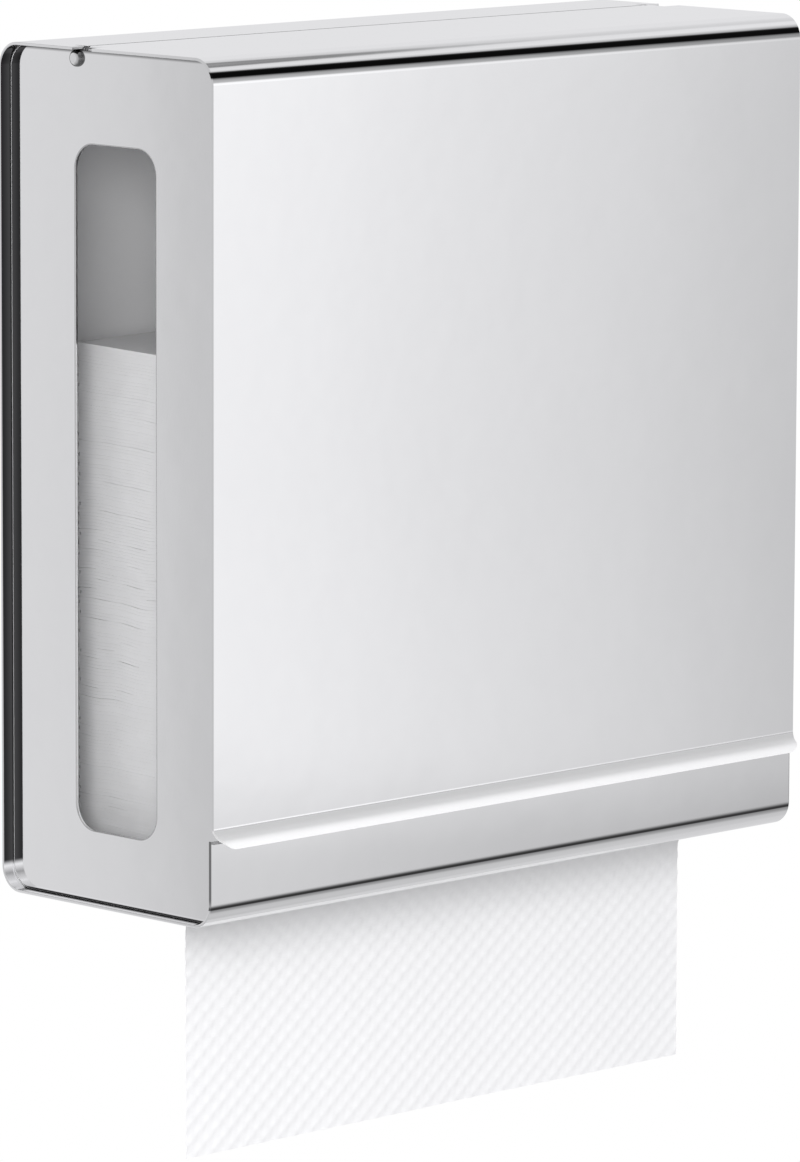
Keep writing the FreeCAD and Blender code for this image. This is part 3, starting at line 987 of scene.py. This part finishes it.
@dataclass
class Cover:
    """The lift-up front: top plate, front plate, flared lip and two ears."""

    half_wide: float = 146.0
    sheet: float = 1.0
    rear: float = -39.1
    top: float = 148.5
    front: float = -107.5
    lip_start: float = -113.4
    lip_flare: float = 4.5
    lip_spring: float = 4.5
    lip_round: float = 3.0
    lip_foot: float = -120.5
    lip_corner: float = 7.0
    bend: float = 8.5
    ear_end: float = -47.5
    ear_foot: float = 141.9
    ear_start: float = 138.3
    ear_plane: float = 139.3
    ear_arm: float = 6.7
    ear_rounds: Point = (2.78, 2.9)
    eased: float = 0.13

    def build(self) -> None:
        """Bends the cover from one sheet."""
        rounds = self.lip_spring + self.lip_round
        turn = math.acos(1 - self.lip_flare / rounds)
        reach = [r * math.tan(turn / 2) for r in (self.lip_spring, self.lip_round)]
        lip = self.front - self.lip_flare
        corners = [
            (self.rear, self.top), (self.front, self.top),
            (self.front, self.lip_start - reach[0]),
            (lip, self.lip_start - rounds * math.sin(turn) + reach[1]),
            (lip, self.lip_foot - 1.0),
        ]
        cover = Workpiece.strip("cover_sheet", corners, self.half_wide + 1.0)
        cover.face_up()
        with cover.editing():
            bends = ((self.bend, 16), (reach[0] - 0.001, 12), (reach[1] - 0.001, 10))
            for (y, z), (width, steps) in zip(corners[1:], bends):
                cover.bevel(where("x", y=y, z=z), width, steps)
        self._bend_ears(cover)
        cover.thicken(self.sheet, Finish.COVER, Finish.MILL)
        self._trim(cover)
        cover.ease(self.eased)
        cover.stand_for("front_cover", "cover", "satin_steel")

    def _bend_ears(self, cover: Workpiece) -> None:
        """Notches the top's rear corners, and bends an ear down beside each.

        Args:
            cover: the cover, still at mid thickness.
        """
        start, plane = self.ear_start, self.ear_plane
        behind = (self.ear_end, FAR)
        with cover.editing():
            cover.pick(Part.FACES, lambda at, way: way.z > 0.9)
            bpy.ops.mesh.bisect(plane_co=mm(0, self.ear_end, 0), plane_no=(0, 1, 0))
            for _, side in SIDES:
                cover.pick(
                    Part.FACES, lambda at, way: way.z > 0.9 and at.y > self.ear_end
                )
                bpy.ops.mesh.bisect(plane_co=mm(side * start, 0, 0), plane_no=(1, 0, 0))
            cover.pick(
                Part.FACES, lambda at, way: abs(at.x) > start and at.y > self.ear_end
            )
            bpy.ops.mesh.delete(type="FACE")
            for _, side in SIDES:
                cover.pick(Part.EDGES, where("y", x=side * start, y=behind))
                cover.extrude(side * (plane - start), 0, 0)
                cover.extrude(0, 0, self.ear_foot - self.top)
                edge = where("y", x=side * plane, z=self.top)
                cover.bevel(edge, plane - start, 6)
                arm = where("z", x=side * plane, y=self.rear, z=(-FAR, 147.0))
                cover.pick(Part.EDGES, arm)
                cover.extrude(0, self.ear_arm, 0)
                eye = where(x=side * plane, y=(self.rear + 1, FAR))
                cover.bevel(eye, self.ear_rounds[0], 8, Part.VERTS)
                corner = where(x=side * plane, y=self.ear_end, z=self.ear_foot)
                cover.bevel(corner, self.ear_rounds[1], 8, Part.VERTS)

    def _trim(self, cover: Workpiece) -> None:
        """Trims the sheet to its width with round lip corners, and drills it.

        Args:
            cover: the cover, with its thickness.
        """
        low, high = (-self.half_wide, -120, self.lip_foot), (self.half_wide, 10, 160)
        trim = Workpiece.block("trim", low, high)
        with trim.editing():
            trim.bevel(where("y", z=self.lip_foot), self.lip_corner, 14)
        cover.boolean(trim, "INTERSECT")
        for _, side in SIDES:
            ends = tuple(sorted((side * 137, side * 141)))
            cover.boolean(Workpiece.rod("eye", Case.pin_round, ends, "X", Case.pin, 32))


# The towels


def arc(middle: Point, radius: float, turn: Point, steps: int) -> list[Point]:
    """Returns the points of an arc, without its first.

    Args:
        middle: its middle.
        radius: its radius.
        turn: the angles where it starts and ends.
        steps: how many points it has.

    Returns:
        The points.
    """
    angles = [turn[0] + (turn[1] - turn[0]) * i / steps for i in range(1, steps + 1)]
    return [
        (middle[0] + radius * math.cos(angle), middle[1] + radius * math.sin(angle))
        for angle in angles
    ]


@dataclass
class Towels:
    """The stack of folded paper towels and the one that is ready to pull."""

    half_wide: float = 125.0
    back: float = -20.0
    front: float = -98.25
    stack_foot: float = -145.9
    stack_top: float = 45.0
    packets: int = 55
    ply: float = 1.13
    seed: int = 7
    hang_foot: float = -237.3
    hang_y: float = -70.6
    turn: float = 1.7
    edge: Point = (-74.2, -149.2)
    sheet: float = 0.2
    emboss_x: float = 8.13
    emboss_z: float = 6.57
    emboss: float = 0.32

    def build(self) -> None:
        """Builds the stack and the hanging towel."""
        stack = self._build_stack()
        self._build_hanging()

    def _build_stack(self) -> Workpiece:
        """Folds one towel, and piles up copies that settle into each other.

        Returns:
            The stack as one piece.
        """
        draw = random.Random(self.seed)
        pitch = (self.stack_top - self.stack_foot) / self.packets
        folded = self._fold_one(pitch)
        copies = []
        for level in range(self.packets):
            copy = folded.copy(f"packet_{level}")
            self._settle(copy, level, pitch, draw)
            copies.append(copy)
        bpy.data.objects.remove(folded.obj)
        stack = copies[0]
        stack.join(copies[1:])
        stack.obj.name = stack.obj.data.name = "stack_of_folds"
        stack.smooth(40.0)
        stack.paint(Finish.PLIES)
        stack.stand_for("towel_stack", "case", "towel_paper")
        return stack

    def _fold_one(self, pitch: float) -> Workpiece:
        """Folds one sheet in three, with its lowest ply on height 0.

        Args:
            pitch: the height of a folded towel.

        Returns:
            The folded towel, with its thickness.
        """
        steps, turns = 26, 8
        gap = pitch / 3
        front, back = self.front + 1.4, self.back + 4.0
        path: list[Point] = []
        for ply, (start, end) in enumerate(
            ((front, back), (back, front), (front, back - 0.3))
        ):
            height = gap * (0.5, 2.5, 1.5)[ply]
            for i in range(steps + 1):
                path.append((start + (end - start) * i / steps, height))
            if ply < 2:
                radius = gap * (1.0, -0.5)[ply]
                ends = (-math.pi / 2, math.pi / 2)
                path += arc((end, height + radius), radius, ends, turns)[:-1]
        rows = len(path) - 1
        piece = Workpiece.start(
            "folded", "grid", x_subdivisions=4, y_subdivisions=rows, size=1.0
        )
        for vert in piece.obj.data.vertices:
            y, z = path[round((vert.co.y + 0.5) * rows)]
            vert.co = mm(vert.co.x * 2 * (self.half_wide - 0.6), y, z)
        piece.modify("SOLIDIFY", thickness=self.ply * MM, offset=0.0)
        piece.clean()
        return piece

    def _settle(
        self, packet: Workpiece, level: int, pitch: float, draw: random.Random
    ) -> None:
        """Moves one folded towel to its level, with the sag of those around it.

        Args:
            packet: the folded towel.
            level: its place in the stack, counted from the foot.
            pitch: the height of a folded towel.
            draw: the source of small chances.
        """
        share = (level + 0.5) / self.packets
        slide_x = draw.uniform(-0.2, 0.2)
        slide_y = draw.uniform(-1.5, 0.3)
        tilt = draw.uniform(-0.12, 0.12)
        foot = self.stack_foot + level * pitch
        for vert in packet.obj.data.vertices:
            x, y, z = (value / MM for value in vert.co)
            along = (y - self.front) / (self.back - self.front)
            wave = 0.35 * math.sin(y / 5.2 + 4.0 * share + 1.5 * math.sin(7 * share))
            wave += 0.22 * math.sin(y / 2.9 + 9.0 * share + x / 60.0)
            wave += 0.25 * math.sin(x / 31.0 + 3.0 * share)
            settle = math.sin(math.pi * min(1.0, share * 1.02)) ** 0.5
            lean = -2.2 * (1.0 - along) * min(1.0, share * 2.2)
            droop = -1.4 * share**12 * max(0.0, (abs(x) - 112.0) / 13.0) ** 2
            height = foot + z + settle * 0.8 * wave + lean
            height = height + tilt * (along - 0.5) + droop
            if level == 0:
                height = max(self.stack_foot + 0.02 + z * 0.3, height)
            vert.co = mm(x + slide_x, y + slide_y * settle, height)

    def _towel_line(self) -> list[Point]:
        """Returns the (y, z) line of the hanging towel, from its lower edge."""
        line: list[Point] = []
        lean = 15.0 * DEGREE
        start_y = self.edge[0] + self.turn * math.cos(lean)
        start_z = self.edge[1] + self.turn * math.sin(lean)
        bowed = 2 * (self.hang_y - start_y) / math.tan(lean)
        steps = 100
        for i in range(steps + 1):
            z = self.hang_foot + (start_z - self.hang_foot) * i / steps
            share = max(0.0, 1 - (start_z - z) / bowed)
            line.append((self.hang_y - (self.hang_y - start_y) * share**2, z))
        line += arc(self.edge, self.turn, (lean, math.pi / 2), 8)
        level, front = self.edge[1] + self.turn, self.front + 1.5
        for i in range(1, 9):
            line.append((self.edge[0] + (front - self.edge[0]) * i / 8, level))
        radius, ends = 0.45, (-math.pi / 2, -1.5 * math.pi)
        line += arc((front, level + radius), radius, ends, 6)[:-1]
        for i in range(27):
            line.append((front + (-22.0 - front) * i / 26, level + 2 * radius))
        return line

    def _relief(self, x: float, s: float) -> float:
        """Returns how far the embossing lifts the sheet, from 0 to 1.

        Args:
            x: place across the sheet.
            s: place along it.

        Returns:
            The share of the full height.
        """
        u = 2 * math.pi * x / self.emboss_x
        v = 2 * math.pi * s / self.emboss_z
        ridge = math.cos(u - v) * 0.72 + math.cos(u + v) * 0.28
        pad = min(1.0, max(0.0, (ridge + 0.15) / 0.8))
        return pad * pad * (3 - 2 * pad)

    def _build_hanging(self) -> None:
        """Hangs the embossed sheet out of the slot, its other end in the stack.
        """
        line = self._towel_line()
        lengths = [0.0]
        for a, b in zip(line, line[1:]):
            lengths.append(lengths[-1] + math.dist(a, b))
        columns, rows = 276, len(line) - 1
        towel = Workpiece.start(
            "pull_towel", "grid", x_subdivisions=columns, y_subdivisions=rows, size=1.0
        )
        for vert in towel.obj.data.vertices:
            x = vert.co.x * 2 * self.half_wide
            i = round((vert.co.y + 0.5) * rows)
            y, z = line[i]
            free = min(1.0, max(0.0, (-151.5 - z) / 6.0))
            below = min(1.0, max(0.0, (-150.0 - z) / 88.0))
            lift = self.emboss * free * self._relief(x, lengths[i])
            sway = 0.6 * x / self.half_wide
            sway += below * (0.4 * math.sin(x / 37.0 + 0.8) + 0.2 * math.sin(x / 15.0))
            vert.co = mm(x, y - lift + sway * free, z)
        towel.modify("SOLIDIFY", thickness=self.sheet * MM, offset=0.0)
        towel.clean()
        towel.smooth(60.0)
        towel.paint(Finish.SHEET)
        towel.stand_for("hanging_towel", "case", "towel_paper")


# The studio

# What the steel mirrors: brightness by elevation or azimuth in degrees, in the
# regions in front, at the key side, over the right side and behind.
KEY_UP = (
    (-90, 0.64), (-62, 0.56), (-50, 0.60), (-44, 0.74), (-38, 0.74), (-34, 0.52),
    (-29, 0.40), (-24, 0.40), (-19, 0.44), (-13.5, 0.58), (-11.5, 0.66),
    (-10.08, 0.67), (-9.88, 0.885), (-7.7, 0.87), (-4.6, 0.91), (-3.4, 1.03),
    (0, 1.02), (2, 0.92), (5.6, 0.50), (12, 0.43), (17.0, 0.40), (23, 0.40),
    (28, 0.40), (33, 0.42), (37, 0.75), (40, 1.0), (44.6, 0.90), (45.3, 0.45),
    (45.6, 0.28), (46.3, 0.30), (60, 0.90), (90, 0.95),
)
KEY_TURN = (
    (-90, 1.05), (-60, 1.12), (-48, 1.23), (-46.6, 1.21), (-46, 1.17), (-45.2, 1.08),
    (-44.4, 1.0), (-43.7, 0.95), (-42.9, 0.853), (-42.3, 0.77), (-40, 0.75),
    (-30, 0.9), (0, 1.0),
)
OVER_UP = (
    (-90, 0.75), (-30, 0.78), (0, 0.80), (4, 0.81), (12, 0.84), (37, 0.90),
    (40, 0.84), (44.4, 0.74), (45.3, 0.45), (45.6, 0.28), (46.3, 0.30), (50, 0.80),
    (90, 0.95),
)
BEHIND_UP = (
    (-90, 0.70), (-30, 0.92), (-14, 0.83), (-11, 0.80), (-5, 0.80), (5, 0.90),
    (13, 0.92), (40, 0.90), (90, 0.95),
)
BEHIND_TURN = (
    (90, 1.0), (131.9, 1.01), (132.6, 0.96), (132.9, 0.93), (133.05, 0.86),
    (133.2, 0.79), (140, 0.74), (180, 0.9),
)
FRONT_UP = (
    (-90, 0.60), (-30, 0.60), (-14, 0.80), (-12, 1.05), (-4, 1.05), (5, 0.85),
    (15, 0.62), (25, 0.40), (35, 0.60), (50, 0.85), (90, 0.95),
)


@dataclass
class Studio:
    """Camera, soft light, the world that the steel mirrors, and the floor."""

    azimuth: float = 44.76
    elevation: float = 8.54
    roll: float = 0.19
    distance: float = 2768.0
    shift_right: float = -1.98
    shift_up: float = -48.45
    lens: float = 240.69
    centre: Point3 = (0.0, -53.0, 0.0)
    floor_z: float = -600.0
    lamp_place: Point3 = (-2.08, -1.63, 0.56)
    lamp_aim: Point3 = (0.0, -0.05, 0.0)
    lamp_size: float = 1.2
    lamp_power: float = 38.0

    def build(self) -> None:
        """Sets up everything round the object."""
        bpy.context.scene.view_settings.view_transform = "Standard"
        self._place_camera()
        self._paint_world()
        self._lay_floor()
        self._hang_lamp()

    def _place_camera(self) -> None:
        """Places the camera where the photograph was taken from."""
        az, el = self.azimuth * DEGREE, self.elevation * DEGREE
        forward = Vector(
            (math.sin(az) * math.cos(el), math.cos(az) * math.cos(el), -math.sin(el))
        )
        right = Vector((math.cos(az), -math.sin(az), 0.0))
        up = right.cross(forward)
        roll = self.roll * DEGREE
        rolled_right = right * math.cos(roll) + up * math.sin(roll)
        rolled_up = up * math.cos(roll) - right * math.sin(roll)
        place = Vector(self.centre) + rolled_right * self.shift_right
        place += rolled_up * self.shift_up - forward * self.distance
        data = bpy.data.cameras.new("camera")
        data.lens = self.lens
        data.clip_start, data.clip_end = 0.05, 100.0
        camera = bpy.data.objects.new("camera", data)
        columns = Matrix((rolled_right, rolled_up, -forward)).transposed().to_4x4()
        camera.matrix_world = Matrix.Translation(place * MM) @ columns
        bpy.context.scene.collection.objects.link(camera)
        bpy.context.scene.camera = camera

    def _paint_world(self) -> None:
        """Paints white for the camera, soft light, and what the steel mirrors."""
        world = bpy.data.worlds.new("studio")
        bpy.context.scene.world = world
        world.use_nodes = True
        board = NodeBoard(world.node_tree)
        place = board.node("TexCoord", output="Generated")
        parts = board.node("SeparateXYZ", None, {0: place})
        x, y, z = (Signal(board, parts.socket.node.outputs[i]) for i in range(3))
        up = z.math("ARCSINE") / DEGREE
        turn = y.math("ARCTAN2", x) / DEGREE
        soft = 0.60 + 0.14 * z.between(-0.2, 0.9)
        camera, glossy, through = board.rays()
        plain = camera.math("MAXIMUM", through)
        level = soft * (1 - glossy) + self._mirrored(up, turn) * glossy
        level = level * (1 - plain) + plain
        cool = level * (1.02 - plain * 0.02)
        colour = board.node("CombineXYZ", None, {0: level, 1: level, 2: cool})
        shade = board.node("Background", None, {"Color": colour})
        board.node("OutputWorld", None, {"Surface": shade})

    def _mirrored(self, up: Signal, turn: Signal) -> Signal:
        """Returns the brightness of the studio that the steel mirrors.

        Args:
            up: elevation of the mirrored direction, in degrees.
            turn: its azimuth, in degrees, 0 along +X and -90 in front.

        Returns:
            The brightness, 1 for white.
        """
        dark = (
            turn.between(96, 104) * (1 - turn.between(126, 131))
            * up.between(15, 19) * (1 - up.between(42, 48))
        )
        key = up.ramp(KEY_UP) * turn.ramp(KEY_TURN)
        behind = up.ramp(BEHIND_UP) * turn.ramp(BEHIND_TURN) * (1 - dark * 0.8)
        steps = (
            (turn.between(-172, -160), up.ramp(FRONT_UP)),
            (turn.between(-80, -66), key),
            (turn.between(-7, 3), up.ramp(OVER_UP)),
            (turn.between(82, 96), behind),
        )
        level = behind
        for share, view in steps:
            level = level * (1 - share) + view * share
        return level

    def _lay_floor(self) -> None:
        """Lays a pale round floor that fades to white further out."""
        floor = Workpiece.start(
            "floor", "circle", vertices=96, radius=6.0, fill_type="NGON",
            location=(0.0, 0.0, self.floor_z * MM),
        )
        material, board = new_material("pale_floor")
        x, y = board.place(0), board.place(1)
        far = (x * x + y * y).math("SQRT").between(0.5, 1.3)
        camera, glossy, through = board.rays()
        white = camera.math("MAXIMUM", glossy).math("MAXIMUM", through)
        matt = board.node("BsdfDiffuse", None, {"Color": (0.86, 0.86, 0.86, 1.0)})
        glow = board.node("Emission")
        mixed = board.node("MixShader", None, {0: far * white, 1: matt, 2: glow})
        board.node("OutputMaterial", None, {"Surface": mixed})
        floor.obj.data.materials.append(material)
        floor.obj.visible_glossy = False

    def _hang_lamp(self) -> None:
        """Hangs a soft lamp at the upper left, which the steel doesn't mirror."""
        data = bpy.data.lights.new("soft_left", "AREA")
        data.shape = "DISK"
        data.size = self.lamp_size
        data.energy = self.lamp_power
        lamp = bpy.data.objects.new("soft_left", data)
        lamp.location = self.lamp_place
        way = Vector(self.lamp_aim) - Vector(self.lamp_place)
        lamp.rotation_euler = way.to_track_quat("-Z", "Y").to_euler()
        lamp.visible_glossy = False
        bpy.context.scene.collection.objects.link(lamp)


def main() -> None:
    """Builds the studio and every sub-assembly in order."""
    logging.basicConfig(level=logging.INFO, format="%(message)s")
    Studio().build()
    Case().build()
    Cover().build()
    Towels().build()


if __name__ == "__main__":
    main()
